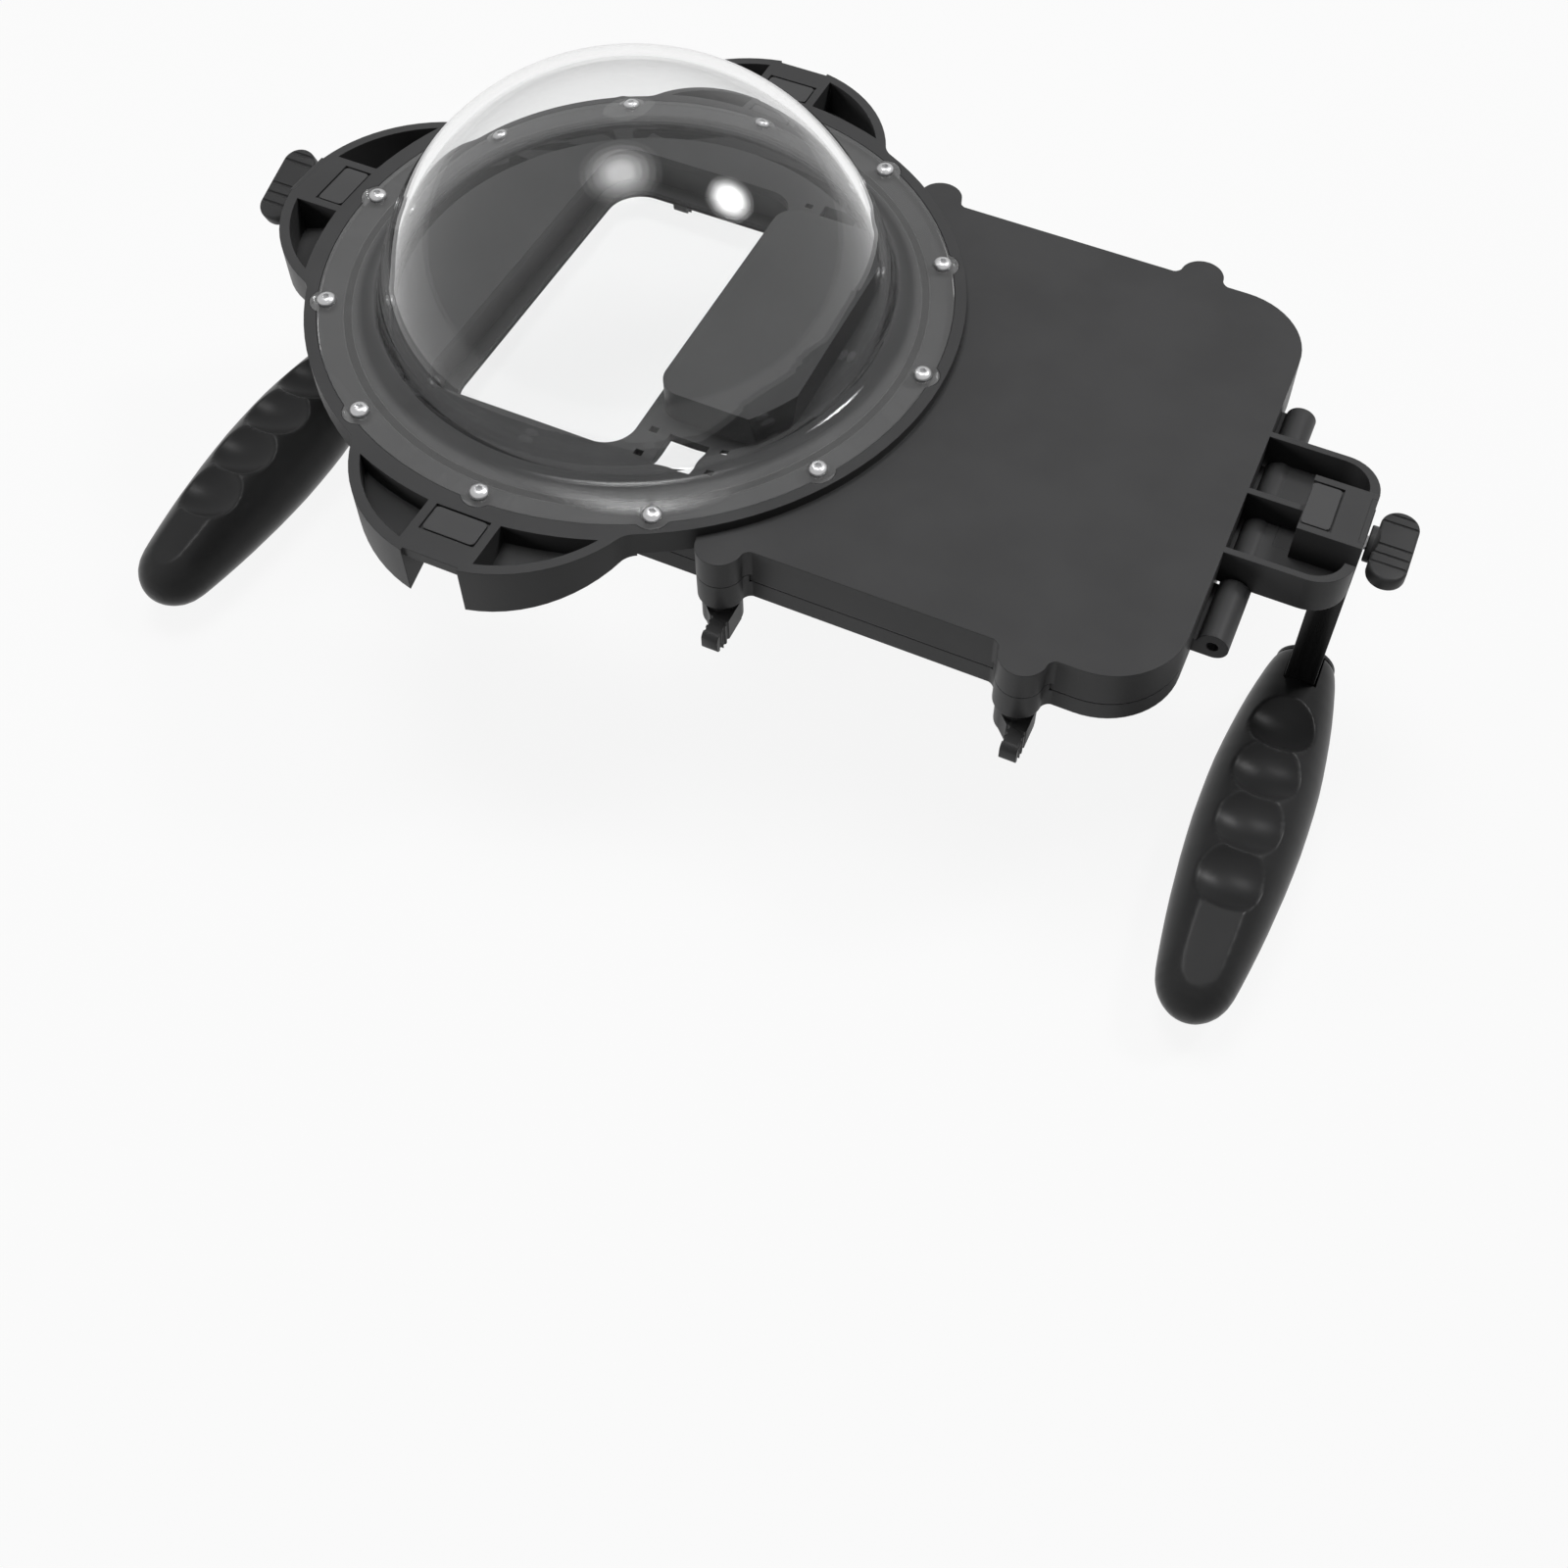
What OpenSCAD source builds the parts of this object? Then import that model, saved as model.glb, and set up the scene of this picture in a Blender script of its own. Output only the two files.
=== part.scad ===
// Underwater case for a phone: a clear dome port on a round flange, a shallow
// hinged box behind it, quarter-turn latches and two grips on clamped arms.
// X runs along the box towards its hinge, Y across it, Z out through the dome.
// Every piece is drawn about the dome's axis, with Z zero on the outer face of
// the clear flange, and is then moved so that the case stands on Z zero with
// the middle of its whole extent over the origin.

/* [Dome port] */

// Outer radius of the clear dome
dome_r = 76.2; // [70:0.5:80]
// Thickness of the dome's wall
dome_wall = 3.4; // [2.5:0.1:5]
// Depth of the dome's centre behind the flange face
dome_sink = 9.7; // [5:0.1:14]
// Outer radius of the clear flange
flange_r = 92.7; // [90:0.1:94]
// Thickness of the clear flange
flange_t = 3.2; // [2.4:0.1:4]
// Radius of the ring of flange screws
screw_ring_r = 90; // [88:0.1:91]
// Number of flange screws
screw_count = 12; // [12:12:12]
// Radius of a flange screw's shank
screw_r = 1.5; // [1.2:0.1:1.8]
// Radius of a flange screw's button head
screw_head_r = 2.75; // [2.4:0.05:3]
// Height of a flange screw's button head
screw_head_h = 1.9; // [1.4:0.1:2.4]
// Radius of the small ear round each flange screw
flange_ear_r = 4.9; // [4:0.1:5.2]
// Radius of the moulded ring that carries the flange
disc_r = 96.3; // [95.6:0.1:99]
// Thickness of the moulded ring
disc_t = 8; // [7:0.1:9]
// Radius of the dome seal's middle line
dome_seal_r = 84.3; // [82:0.1:85]

/* [Box] */

// Half of the box's width
box_half_w = 76; // [74.5:0.5:78]
// Length of the box from the dome's axis to its far end
box_end = 186.7; // [184:0.5:200]
// Length of the box on the other side of the dome's axis
box_top = 58.1; // [56:0.1:60]
// Corner radius of the box
box_r = 22; // [20:0.5:26]
// Depth of the front shell from its face to the parting line
shell_depth = 12.2; // [11.8:0.1:16]
// Depth of the rear cover
cover_depth = 6.3; // [6.1:0.1:8]
// Gap between the shell and the cover at the parting line
part_gap = 0.3; // [0.2:0.05:0.5]
// Thickness of the front wall behind the dome
front_wall = 3; // [2.4:0.1:4]
// Width of the solid rim round the phone compartment
rim_w = 17; // [16.5:0.1:18]

/* [Front wall] */

// Half of the camera opening's width
lens_half_w = 58; // [50:0.5:58.5]
// Reach of the camera opening towards the hinge
lens_low = 24.6; // [15:0.1:26]
// Reach of the camera opening away from the hinge
lens_high = 39; // [30:0.1:40]
// Corner radius of the camera opening
lens_r = 9; // [4:0.5:12]
// Half of the raised hood's width
hood_half_w = 42; // [34:0.5:44]
// Near edge of the raised hood
hood_x = 27.1; // [26.5:0.1:30]
// Length of the raised hood along the box
hood_len = 36.4; // [30:0.1:40]
// Height of the raised hood over the front wall
hood_h = 10.6; // [6:0.1:14]
// Wall thickness of the raised hood
hood_wall = 2.4; // [1.6:0.1:4]
// Corner radius of the raised hood
hood_r = 7; // [3:0.5:9]
// Least distance from the hood to the inside of the dome
hood_clear = 1.2; // [1:0.1:3]
// Near edge of the light slot beside the hood
slot_x = 34.1; // [32:0.1:36]
// Length of the light slot
slot_len = 11.8; // [8:0.1:14]

/* [Rear window] */

// Half of the clear window's width
window_half_w = 54.4; // [48:0.1:54.6]
// Reach of the window away from the hinge
window_top = 35.8; // [30:0.1:36]
// Reach of the window towards the hinge
window_end = 163.5; // [150:0.1:164]
// Corner radius of the window
window_r = 11; // [8:0.5:14]
// Width of the sloping border round the window
bevel_w = 6.2; // [4:0.1:6.6]
// Thickness of the window pane
pane_t = 1.4; // [1:0.1:1.6]
// Thickness of the frame that clamps the pane
clamp_t = 1.4; // [1:0.1:1.6]
// Width by which the pane's ledge goes beyond the window
ledge_w = 4; // [3:0.1:5]
// Width by which the clamp frame goes beyond the window
clamp_w = 9.6; // [9:0.1:10]

/* [Latches] */

// Distance of the side pivots from the middle of the box
side_pivot_y = 77.6; // [77:0.1:79]
// Distance of the end pivots from the dome's axis
end_pivot_x = 60.7; // [60:0.1:62]
// Half of the distance between the two end pivots
end_pivot_y = 27.5; // [24:0.5:32]
// Radius of a latch boss and of the cover's ear
boss_r = 6.6; // [6:0.1:7]
// Height of the ear that stands over the parting line
ear_rise = 2.5; // [1.5:0.1:3.5]
// Radius of a lever's round hub
hub_r = 5.6; // [5:0.1:6.4]
// Reach of a lever's arm from its pivot
lever_reach = 15; // [12:0.1:16]
// Width of a lever's arm
lever_w = 4.9; // [4:0.1:5.4]
// Height of a lever
lever_h = 9.7; // [8:0.1:11]
// Radius of a latch shaft
shaft_r = 2.4; // [2:0.1:2.8]
// Running clearance of a shaft or pin in its bore
run_gap = 0.05; // [0.02:0.01:0.1]

/* [Hinge] */

// Distance of the hinge axis from the end of the box
hinge_out = 5.5; // [5.4:0.1:6]
// Radius of the hinge barrel
barrel_r = 4.4; // [4:0.1:4.6]
// Radius of the hinge pin
pin_r = 1.6; // [1.2:0.1:2]
// Half of the hinge's length
hinge_half = 45.2; // [42:0.1:48]

/* [Grip mounts] */

// Half of the hinge bracket's width
bracket_half_w = 23.9; // [22:0.1:26]
// Length of the hinge bracket from the end of the box
bracket_len = 33.7; // [32:0.1:36]
// Corner radius of the hinge bracket
bracket_r = 11.3; // [8:0.1:12]
// Distance of a side lobe's centre from the dome's axis
lobe_c = 71.9; // [70:0.1:73]
// Radius of a side lobe
lobe_r = 44.1; // [43:0.1:46]
// Wall thickness of the lobes and the bracket
mount_wall = 3; // [2:0.1:3.6]
// Half of the width of the block in each mount
block_half_w = 10.9; // [10:0.1:12]
// Depth of a lobe at its tip
lobe_depth = 16.6; // [15:0.1:18]
// Width of the arm across the mount
arm_w = 16; // [14:0.1:17]
// Thickness of the arm
arm_t = 9.4; // [8:0.1:9.8]
// How far the arm stands out of its mount
arm_proud = 0.7; // [0.2:0.1:1.5]
// Clearance of the arm in its channel
arm_gap = 0.3; // [0.1:0.05:0.5]
// Depth of the clamp screw's axis behind the flange face
clamp_z = 8.4; // [8:0.1:8.8]
// Radius of the clamp screw's thread
stud_r = 2; // [1.8:0.1:2.2]
// Length of the thumb knob
knob_len = 28; // [24:0.5:30]
// Width of the thumb knob
knob_w = 12; // [10:0.5:13]
// Thickness of the thumb knob
knob_t = 6.6; // [5:0.1:8]

/* [Grips] */

// Largest radius of a grip
grip_r = 16; // [14.5:0.1:16.5]
// Length of a grip
grip_len = 122; // [115:0.5:130]
// Height of a grip's top end over the middle of the box
grip_top = 8.6; // [8:0.1:10]
// Depth of a grip's axis behind the flange face
grip_z = 78; // [70:0.5:90]
// Distance between two finger hollows
finger_pitch = 17.5; // [16.5:0.1:18]
// Depth of a finger hollow
finger_depth = 3.6; // [2:0.1:4.5]
// Thickness of the cap on a grip's top end
cap_t = 2; // [1.6:0.1:2.4]

/* [Hidden] */

$fn = 96;
eps = 0.01;

// Levels along Z
face_z = -flange_t;
part_z = face_z - shell_depth;
cover_z = part_z - part_gap;
rear_z = cover_z - cover_depth;
split_z = part_z + ear_rise + 0.2;
ear_z = part_z + ear_rise;
lever_gap = 0.3;
lever_z = rear_z - lever_gap;

// Compartment for the phone
room_half_w = box_half_w - rim_w;
room_top = box_top - rim_w - 1.1;
room_end = box_end - rim_w - 1.7;
room_r = box_r - rim_w / 2;

// Pivots of the latches: position, then the direction out of the wall
side_x = [-24.2, 64.4, 149.9];
pivots = [
    for (i = [0:2]) [side_x[i], -side_pivot_y, -90],
    [-end_pivot_x, -end_pivot_y, 180], [-end_pivot_x, end_pivot_y, 180],
    for (i = [0:2]) [side_x[i], side_pivot_y, 90]];
boss_fillet = 3;
nip = 0.1;
ear_gap = 0.3;
socket_r = 4.8;
socket_depth = 6.3;

// Hinge
hinge_x = box_end + hinge_out;
hinge_z = part_z - 0.8;
knuckle_gap = 0.7;

// Seals
seal_w = 2.2;
seal_groove_w = 2.6;
seal_groove_d = 1.6;
seal_inset = 7.5;

// Flange hardware
screw_gap = 0.15;
nut_flat = 5.5;
nut_h = 2.4;
nut_sink = 0.6;
nut_room_r = 4.3;
screw_end = disc_t - nut_sink + nut_h + 0.6;

// Lobes and bracket
lobe_tip = lobe_c + lobe_r;
bracket_end = box_end + bracket_len;
bracket_notch = block_half_w + 3.2;
pocket_in = disc_r + 1.9;
cone_in = disc_r - 2.3;
cone_slope = (lobe_depth - disc_t) / (lobe_tip - cone_in);
lobe_fillet = 8;
skin_t = 3.2;
skin_notch = 1.7;
arm_seat = arm_t - arm_proud;
floor_t = 3;
stud_len = 5;
inlay_gap = 0.35;
inlay_t = 0.9;
inlay_half_w = 7.9;
inlay_len = 8.4;
inlay_out = 9.5;

// Grips
grip_mid = 0.434 * grip_len;
grip_end_r = 0.7 * grip_r;
grip_end_t = grip_len - grip_end_r;
grip_drop = grip_r - grip_end_r;
grip_arc = (pow(grip_end_t - grip_mid, 2) + pow(grip_drop, 2)) / (2 * grip_drop);
grip_neck = 20;
grip_steps = 24;
cap_r = 0.56 * grip_r;
palm_cut = 0.9 * grip_r;
finger_r = 10;
finger_first = 24;
arm_tail = 6;
arm_low_y = grip_top - cap_t - 0.8;
grip_screw_r = 2;

// Plain helpers

module rbox2(x0, x1, y0, y1, r) {
    translate([x0 + r, y0]) square([x1 - x0 - 2 * r, y1 - y0]);
    translate([x0, y0 + r]) square([x1 - x0, y1 - y0 - 2 * r]);
    for (x = [x0 + r, x1 - r], y = [y0 + r, y1 - r]) translate([x, y]) circle(r);
}

module rbox(x0, x1, y0, y1, r, z0, z1) {
    translate([0, 0, z0]) linear_extrude(z1 - z0) rbox2(x0, x1, y0, y1, r);
}

module block3(x0, x1, y0, y1, z0, z1) {
    translate([x0, y0, z0]) cube([x1 - x0, y1 - y0, z1 - z0]);
}

module rod(x, y, z0, z1, r) {
    translate([x, y, z0]) cylinder(h = z1 - z0, r = r);
}

// Opening with sloping sides and cut corners: flat planes all round, so it is
// the common part of four prisms that widen towards the rear
module wedge(half, w, len, z_in, z_out) {
    rotate([90, 0, 0]) translate([0, 0, -len]) linear_extrude(2 * len)
        polygon([[-half - w, z_out], [half + w, z_out], [half, z_in], [-half, z_in]]);
}
module sloped_hole(x0, x1, y1, r, w, z_in, z_out) {
    a = (x1 - x0) / 2;
    d = (a + y1 - 2 * r) / sqrt(2) + r;
    translate([(x0 + x1) / 2, 0, 0]) intersection() {
        wedge(a, w, 200, z_in, z_out);
        rotate([0, 0, 90]) wedge(y1, w, 200, z_in, z_out);
        rotate([0, 0, 45]) wedge(d, w, 300, z_in, z_out);
        rotate([0, 0, -45]) wedge(d, w, 300, z_in, z_out);
    }
}

module box_outline(inset) {
    rbox2(inset - box_top, box_end - inset, inset - box_half_w,
        box_half_w - inset, box_r - inset);
}

module at_screws() {
    for (i = [0:screw_count - 1]) rotate([0, 0, i * 360 / screw_count])
        translate([screw_ring_r, 0, 0]) children();
}

// Screws over the phone compartment end in the front wall, without a nut
function has_nut(i) = cos(i * 360 / screw_count) * screw_ring_r < room_half_w
    || abs(sin(i * 360 / screw_count)) * screw_ring_r > room_half_w;

// Outline of a boss on a wall along X, with a small fillet on each side; the
// fillet circles cut a little into the wall and the boss, so no edge is tangent
function boss_dx(out) = sqrt(pow(boss_r + boss_fillet - nip, 2)
    - pow(boss_fillet - nip - out, 2));
module boss2(out) {
    f = boss_fillet;
    dx = boss_dx(out);
    fy = f - nip - out;
    circle(boss_r);
    difference() {
        translate([-dx, -out - 1]) square([2 * dx, fy * boss_r / (boss_r + f) + out + 1]);
        for (s = [-1, 1]) translate([s * dx, fy]) circle(f);
    }
}

module at_pivot(i) {
    translate([pivots[i][0], pivots[i][1], 0]) rotate([0, 0, pivots[i][2] - 90])
        children();
}

// Distance of a pivot from the wall that it stands on
function pivot_out(i) = abs(pivots[i][1]) > box_half_w
    ? abs(pivots[i][1]) - box_half_w : abs(pivots[i][0]) - box_top;

// Lobe outline with its fillets onto the ring, pointing along +X
module lobe2() {
    a = disc_r + lobe_fillet - nip;
    b = lobe_r + lobe_fillet - nip;
    fx = (lobe_c * lobe_c + a * a - b * b) / (2 * lobe_c);
    fy = sqrt(a * a - fx * fx);
    ka = (disc_r - nip / 2) / a;
    kb = (lobe_r - nip / 2) / b;
    translate([lobe_c, 0]) circle(lobe_r);
    for (s = [-1, 1]) difference() {
        polygon([[fx, s * fy], [fx * ka, s * fy * ka], [lobe_c - 6, 0],
            [lobe_c + (fx - lobe_c) * kb, s * fy * kb]]);
        translate([fx, s * fy]) circle(lobe_fillet);
    }
}

// Solid under the lobes: flat in front, a shallow cone behind
module lobe_envelope(sink) {
    rotate_extrude() polygon([[40, -sink], [lobe_tip + 4, -sink],
        [lobe_tip + 4, sink - disc_t - cone_slope * (lobe_tip + 4 - cone_in)],
        [cone_in, sink - disc_t], [40, sink - disc_t]]);
}

// Channel for an arm, cut from behind into a mount with its tip at x = tip
module arm_channel(tip, deep) {
    block3(tip - arm_seat, tip + 2, -arm_w / 2 - arm_gap, arm_w / 2 + arm_gap,
        -deep, -skin_t);
    block3(tip - skin_notch, tip + 2, -arm_w / 2 - arm_gap, arm_w / 2 + arm_gap,
        -deep, 1);
    translate([tip - arm_seat - stud_len, 0, -clamp_z]) rotate([0, 90, 0])
        cylinder(h = stud_len + 1, r = stud_r + run_gap);
}

module inlay(tip, gap) {
    block3(tip - inlay_out - inlay_len - gap, tip - inlay_out + gap,
        -inlay_half_w - gap, inlay_half_w + gap, -inlay_t, gap > 0 ? 1 : 0);
}

module lobe() {
    difference() {
        intersection() {
            translate([0, 0, -lobe_depth - 4]) linear_extrude(lobe_depth + 4) lobe2();
            lobe_envelope(0);
        }
        intersection() {
            difference() {
                translate([0, 0, -lobe_depth]) linear_extrude(lobe_depth + 1)
                    difference() {
                        translate([lobe_c, 0]) circle(lobe_r - mount_wall);
                        circle(pocket_in);
                        translate([40, -block_half_w])
                            square([lobe_tip, 2 * block_half_w]);
                    }
            }
            rotate_extrude() polygon([[60, 2], [lobe_tip, 2],
                [lobe_tip, floor_t - disc_t - cone_slope * (lobe_tip - cone_in)],
                [cone_in, floor_t - disc_t], [60, floor_t - disc_t]]);
        }
        arm_channel(lobe_tip, lobe_depth + 4);
        inlay(lobe_tip, inlay_gap);
    }
}

// Open ribbed bracket behind the hinge, with the block that clamps an arm
module bracket() {
    e = bracket_end;
    difference() {
        union() {
            difference() {
                rbox(box_end - bracket_r - 2, e, -bracket_half_w, bracket_half_w,
                    bracket_r, part_z, face_z);
                rbox(box_end - 30, e - mount_wall, mount_wall - 1 - bracket_half_w,
                    bracket_half_w - mount_wall + 1, bracket_r - mount_wall + 0.5,
                    part_z + floor_t, 1);
                block3(box_end, hinge_x, mount_wall - 1 - bracket_half_w,
                    bracket_half_w - mount_wall + 1, part_z - 1, 1);
                block3(box_end - 40, box_end - 1, -30, 30, part_z - 1, 1);
            }
            block3(e - 18, e - eps, -block_half_w + 0.5, block_half_w - 0.5,
                part_z, 0);
            block3(box_end - 1, e - 17, -1, 1, hinge_z + 1, face_z);
            translate([hinge_x, -bracket_half_w, hinge_z]) rotate([-90, 0, 0])
                cylinder(h = 2 * bracket_half_w, r = barrel_r);
        }
        arm_channel(e, 30);
        block3(e - 9, e + 1, -bracket_notch, -block_half_w + 0.5, part_z + floor_t, 1);
        block3(hinge_x + barrel_r + 1, e + 1, -block_half_w, block_half_w,
            part_z - 1, part_z + 1);
        block3(hinge_x + barrel_r + 1, e - 18.2, -arm_w / 2, arm_w / 2,
            part_z - 1, part_z + floor_t + 1);
        inlay(e, inlay_gap);
        hinge_bore(0);
    }
}

module hinge_bore(gap) {
    translate([hinge_x, -hinge_half - 1, hinge_z]) rotate([-90, 0, 0])
        cylinder(h = 2 * hinge_half + 2, r = pin_r + gap);
}

module flange2(gap) {
    circle(flange_r + gap);
    at_screws() circle(flange_ear_r + gap);
}

module front_shell() {
    color([0.16, 0.16, 0.16]) difference() {
        union() {
            translate([0, 0, part_z]) linear_extrude(shell_depth) box_outline(0);
            translate([0, 0, -disc_t]) cylinder(h = disc_t, r = disc_r);
            for (a = [90, 180, 270]) rotate([0, 0, a]) lobe();
            for (i = [0:7]) at_pivot(i) translate([0, 0, split_z])
                linear_extrude(face_z - split_z) boss2(pivot_out(i));
            bracket();
            hood(0);
        }
        // Seat of the clear flange, open to the front
        difference() {
            translate([0, 0, face_z]) linear_extrude(flange_t + 30) flange2(screw_gap);
            hood(0);
        }
        // Phone compartment and what opens from it to the front
        rbox(-room_top, room_end, -room_half_w, room_half_w, room_r,
            part_z - 1, face_z - front_wall);
        rbox(-lens_high, lens_low, -lens_half_w, lens_half_w, lens_r,
            part_z, face_z + 1);
        hood(hood_wall);
        for (s = [-1, 1]) {
            block3(slot_x, slot_x + slot_len,
                s > 0 ? hood_half_w + 5 : -room_half_w,
                s > 0 ? room_half_w : -hood_half_w - 5, part_z, face_z + 1);
            for (x = [slot_x - 4.8, slot_x + slot_len + 4.8], y = [5.5, 14.5])
                translate([x - 1.2, s * (hood_half_w + y) - 1, part_z])
                    cube([2.4, 2, shell_depth + 1]);
        }
        // Seal groove, screw holes and room for the nuts
        rotate_extrude() translate([dome_seal_r - seal_groove_w / 2,
            face_z - seal_groove_d]) square([seal_groove_w, seal_groove_d + 1]);
        at_screws() rod(0, 0, -disc_t - 6, 1, screw_r + screw_gap);
        for (i = [0:screw_count - 1]) if (has_nut(i))
            rotate([0, 0, i * 360 / screw_count])
                rod(screw_ring_r, 0, part_z - 1, nut_sink - disc_t, nut_room_r);
        // Sockets of the latches, and room for the cover's ears
        for (i = [0:7]) {
            at_pivot(i) {
                rod(0, 0, split_z - 1, split_z + socket_depth, socket_r);
                rod(0, 0, part_z - 1, split_z, boss_r + ear_gap);
            }
        }
    }
}

// Raised hood over the phone's cameras, kept clear of the inside of the dome
module hood(inset) {
    intersection() {
        rbox(hood_x + inset, hood_x + hood_len - inset, inset - hood_half_w,
            hood_half_w - inset, hood_r - inset, inset > 0 ? part_z : face_z - 1,
            face_z + hood_h - inset);
        translate([0, 0, -dome_sink]) sphere(dome_r - dome_wall - hood_clear - inset);
    }
}

module dome() {
    color([0.85, 0.9, 0.95, 0.35]) difference() {
        union() {
            intersection() {
                translate([0, 0, -dome_sink]) sphere(dome_r, $fn = 128);
                translate([0, 0, -flange_t]) cylinder(h = dome_r * 2, r = dome_r + 1);
            }
            translate([0, 0, -flange_t]) linear_extrude(flange_t) flange2(0);
        }
        translate([0, 0, -dome_sink]) sphere(dome_r - dome_wall, $fn = 128);
        at_screws() rod(0, 0, -flange_t - 1, 1, screw_r + screw_gap);
    }
}

module dome_seal() {
    color([0.08, 0.08, 0.08]) rotate_extrude()
        translate([dome_seal_r - seal_w / 2, face_z - seal_groove_d])
            square([seal_w, seal_groove_d]);
}

module flange_screw(end) {
    difference() {
        union() {
            rod(0, 0, -end, 0.2, screw_r);
            cylinder(h = 0.7, r = screw_head_r);
            translate([0, 0, 0.7]) cylinder(h = screw_head_h - 0.7,
                r1 = screw_head_r, r2 = screw_head_r * 0.62);
        }
        translate([0, 0, screw_head_h - 1]) cylinder(h = 2, r = 1, $fn = 6);
    }
}

module flange_screws() {
    color([0.8, 0.8, 0.82]) for (i = [0:screw_count - 1])
        rotate([0, 0, i * 360 / screw_count]) translate([screw_ring_r, 0, 0])
            flange_screw(has_nut(i) ? screw_end : flange_t + front_wall);
}

module flange_nuts() {
    color([0.8, 0.8, 0.82]) for (i = [0:screw_count - 1]) if (has_nut(i))
        rotate([0, 0, i * 360 / screw_count])
            translate([screw_ring_r, 0, nut_sink - disc_t - nut_h]) difference() {
                cylinder(h = nut_h, r = nut_flat / 2 / cos(30), $fn = 6);
                translate([0, 0, -1]) cylinder(h = nut_h + 2, r = screw_r + eps);
            }
}

module hinge_pin() {
    color([0.7, 0.7, 0.72]) translate([hinge_x, -hinge_half + 2.4, hinge_z])
        rotate([-90, 0, 0]) cylinder(h = 2 * hinge_half - 4.8, r = pin_r);
}

module mount_inlays() {
    color([0.25, 0.25, 0.25]) {
        for (a = [90, 180, 270]) rotate([0, 0, a]) inlay(lobe_tip, 0);
        inlay(bracket_end, 0);
    }
}

// Outline of the part of an ear that stands past the parting plane
module ear2(out) {
    circle(boss_r);
    difference() {
        boss2(out);
        translate([-20, -out - 20 + ear_gap]) square([40, 20]);
    }
}

module rear_cover() {
    color([0.16, 0.16, 0.16]) difference() {
        union() {
            translate([0, 0, rear_z]) linear_extrude(cover_depth) box_outline(0);
            for (i = [0:7]) at_pivot(i) {
                translate([0, 0, rear_z]) linear_extrude(cover_depth)
                    boss2(pivot_out(i));
                translate([0, 0, cover_z - 1]) linear_extrude(ear_z - cover_z + 1)
                    ear2(pivot_out(i));
            }
            for (s = [-1, 1]) {
                y0 = s > 0 ? bracket_half_w + knuckle_gap : -hinge_half;
                y1 = s > 0 ? hinge_half : -bracket_half_w - knuckle_gap;
                translate([hinge_x, y0, hinge_z]) rotate([-90, 0, 0])
                    cylinder(h = y1 - y0, r = barrel_r);
                block3(box_end - 1, hinge_x, y0, y1, hinge_z - barrel_r, cover_z);
            }
        }
        // Window with its sloping border, and the seat of pane and frame
        rbox(-window_top, window_end, -window_half_w, window_half_w, window_r,
            rear_z - 1, pane_z + 1);
        sloped_hole(-window_top, window_end, window_half_w, window_r,
            bevel_w, pane_z - 0.4, rear_z - eps);
        rbox(-window_top - ledge_w - 0.2, window_end + ledge_w + 0.2,
            -window_half_w - ledge_w - 0.2, window_half_w + ledge_w + 0.2,
            window_r + ledge_w, pane_z, cover_z + 1);
        rbox(-window_top - clamp_w - 0.2, window_end + clamp_w + 0.2,
            -window_half_w - clamp_w - 0.2, window_half_w + clamp_w + 0.2,
            window_r + clamp_w, clamp_z0, cover_z + 1);
        at_frame_screws() rod(0, 0, clamp_z0 - 2.2, cover_z + 1, 0.85);
        // Groove of the seal
        translate([0, 0, cover_z - seal_groove_d]) linear_extrude(seal_groove_d + 5)
            difference() {
                box_outline(seal_inset - seal_groove_w / 2);
                box_outline(seal_inset + seal_groove_w / 2);
            }
        for (i = [0:7]) at_pivot(i) rod(0, 0, rear_z - 1, ear_z + 1, shaft_r + run_gap);
        hinge_bore(run_gap);
    }
}

// Levels of the pane and of the frame over it
clamp_z0 = cover_z - clamp_t - 0.1;
pane_z = clamp_z0 - pane_t;

module window_pane() {
    color([0.85, 0.9, 0.95, 0.35])
        rbox(-window_top - ledge_w, window_end + ledge_w, -window_half_w - ledge_w,
            window_half_w + ledge_w, window_r + ledge_w, pane_z, clamp_z0);
}

frame_screw_in = clamp_w - 1.9;

module at_frame_screws() {
    y = window_half_w + frame_screw_in;
    for (x = [-10, 32, 74, 116, 148], s = [-1, 1]) translate([x, s * y, 0]) children();
    for (x = [-window_top - frame_screw_in, window_end + frame_screw_in],
        s = [-1, 0, 1]) translate([x, s * 30, 0]) children();
}

module window_frame() {
    color([0.12, 0.12, 0.12]) difference() {
        rbox(-window_top - clamp_w, window_end + clamp_w, -window_half_w - clamp_w,
            window_half_w + clamp_w, window_r + clamp_w, clamp_z0, clamp_z0 + clamp_t);
        rbox(-window_top, window_end, -window_half_w, window_half_w, window_r,
            clamp_z0 - 1, cover_z + 1);
        at_frame_screws() {
            rod(0, 0, clamp_z0 - 1, cover_z + 1, 1);
            rod(0, 0, clamp_z0 + 0.6, cover_z + 1, 1.7);
        }
    }
}

module frame_screws() {
    color([0.75, 0.75, 0.77]) at_frame_screws() {
        rod(0, 0, clamp_z0 - 2, clamp_z0 + 1, 0.8);
        rod(0, 0, clamp_z0 + 0.6, clamp_z0 + clamp_t, 1.6);
    }
}

module cover_seal() {
    color([0.08, 0.08, 0.08]) translate([0, 0, cover_z - seal_groove_d])
        linear_extrude(seal_groove_d + part_gap) difference() {
            box_outline(seal_inset - seal_w / 2);
            box_outline(seal_inset + seal_w / 2);
        }
}

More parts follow.
